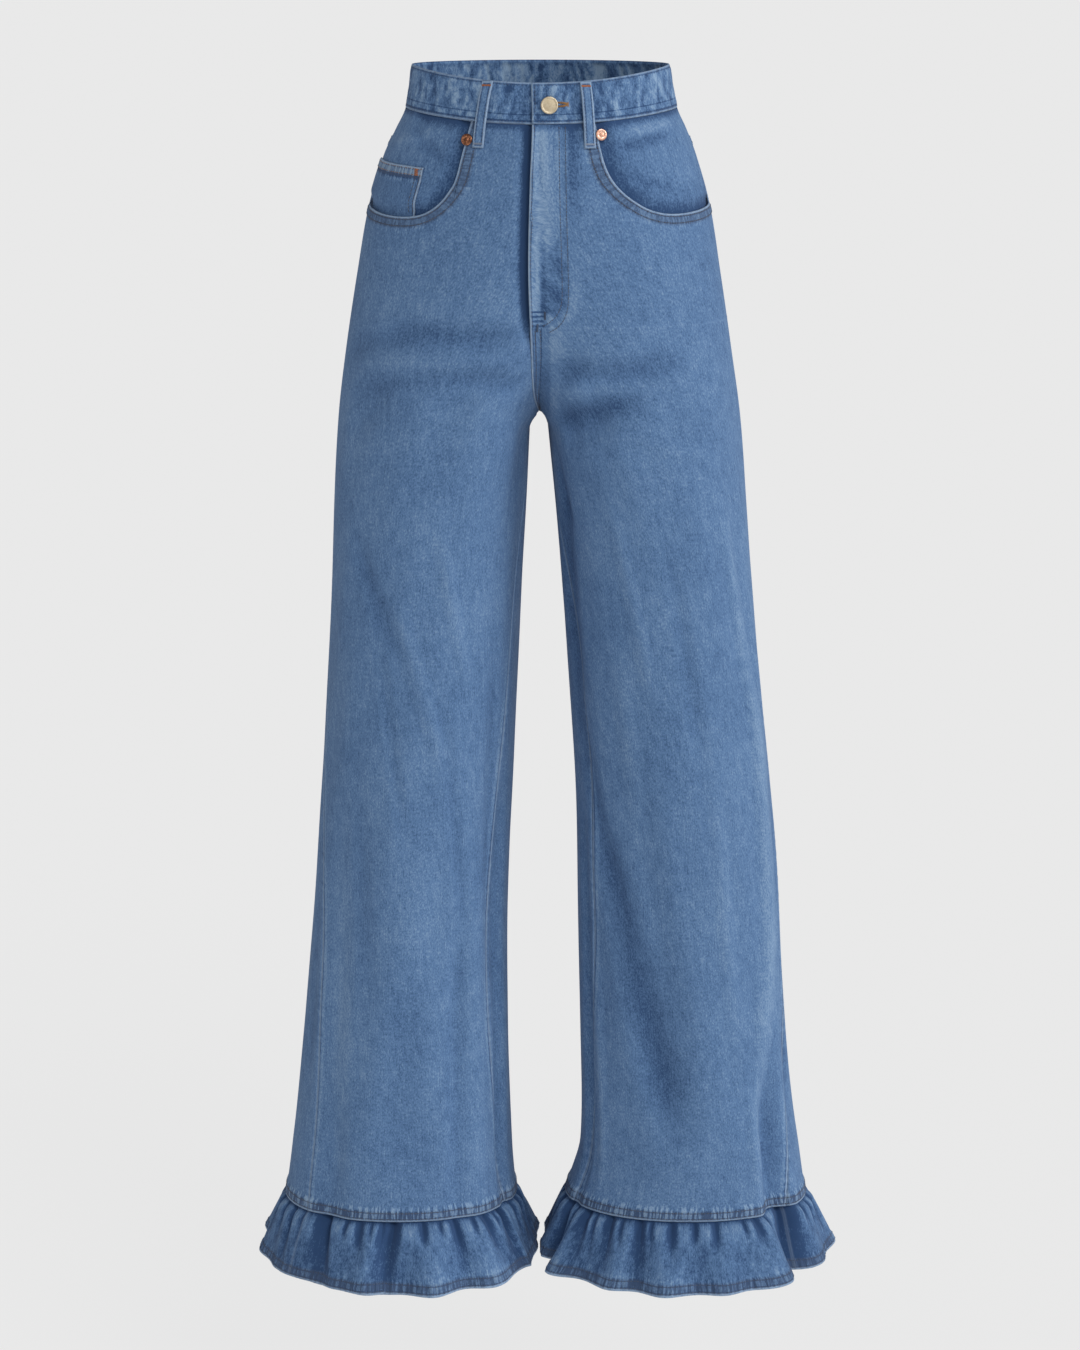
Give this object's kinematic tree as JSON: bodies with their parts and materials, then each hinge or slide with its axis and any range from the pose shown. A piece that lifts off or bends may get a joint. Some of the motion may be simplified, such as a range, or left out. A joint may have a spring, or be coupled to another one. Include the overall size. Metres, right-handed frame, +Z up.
{
  "type": "wide-leg jeans with ruffled hems",
  "caption": "High-waisted wide-leg denim jeans filled out as worn, with scoop pockets, a lapped fly, belt loops and a gathered ruffle round each hem.",
  "frame": {"origin": "middle of the waist opening, half way up the waistband at the sides", "axes": "+Z up along the wearer, -Y out of the front, +X to the wearer's left, which is the viewer's right from the front"},
  "size_m": [0.5497, 0.2724, 1.1236],
  "materials": {
    "denim": "washed mid-blue cotton twill",
    "button_metal": "pale antique brass, satin",
    "rivet_metal": "copper-toned, satin"
  },
  "bodies": {
    "root": {"front_panel_right": "denim", "back_panel_right": "denim", "back_yoke_right": "denim", "pocket_facing_right": "denim", "back_pocket_right": "denim", "hem_ruffle_right": "denim", "front_panel_left": "denim", "back_panel_left": "denim", "back_yoke_left": "denim", "pocket_facing_left": "denim", "back_pocket_left": "denim", "hem_ruffle_left": "denim", "coin_pocket": "denim", "waistband": "denim", "belt_loop_front_right": "denim", "belt_loop_front_left": "denim", "belt_loop_back_right": "denim", "belt_loop_back_left": "denim", "belt_loop_back_middle": "denim", "waist_button": "button_metal", "rivet_right": "rivet_metal", "rivet_left": "rivet_metal"}
  },
  "joints": []
}
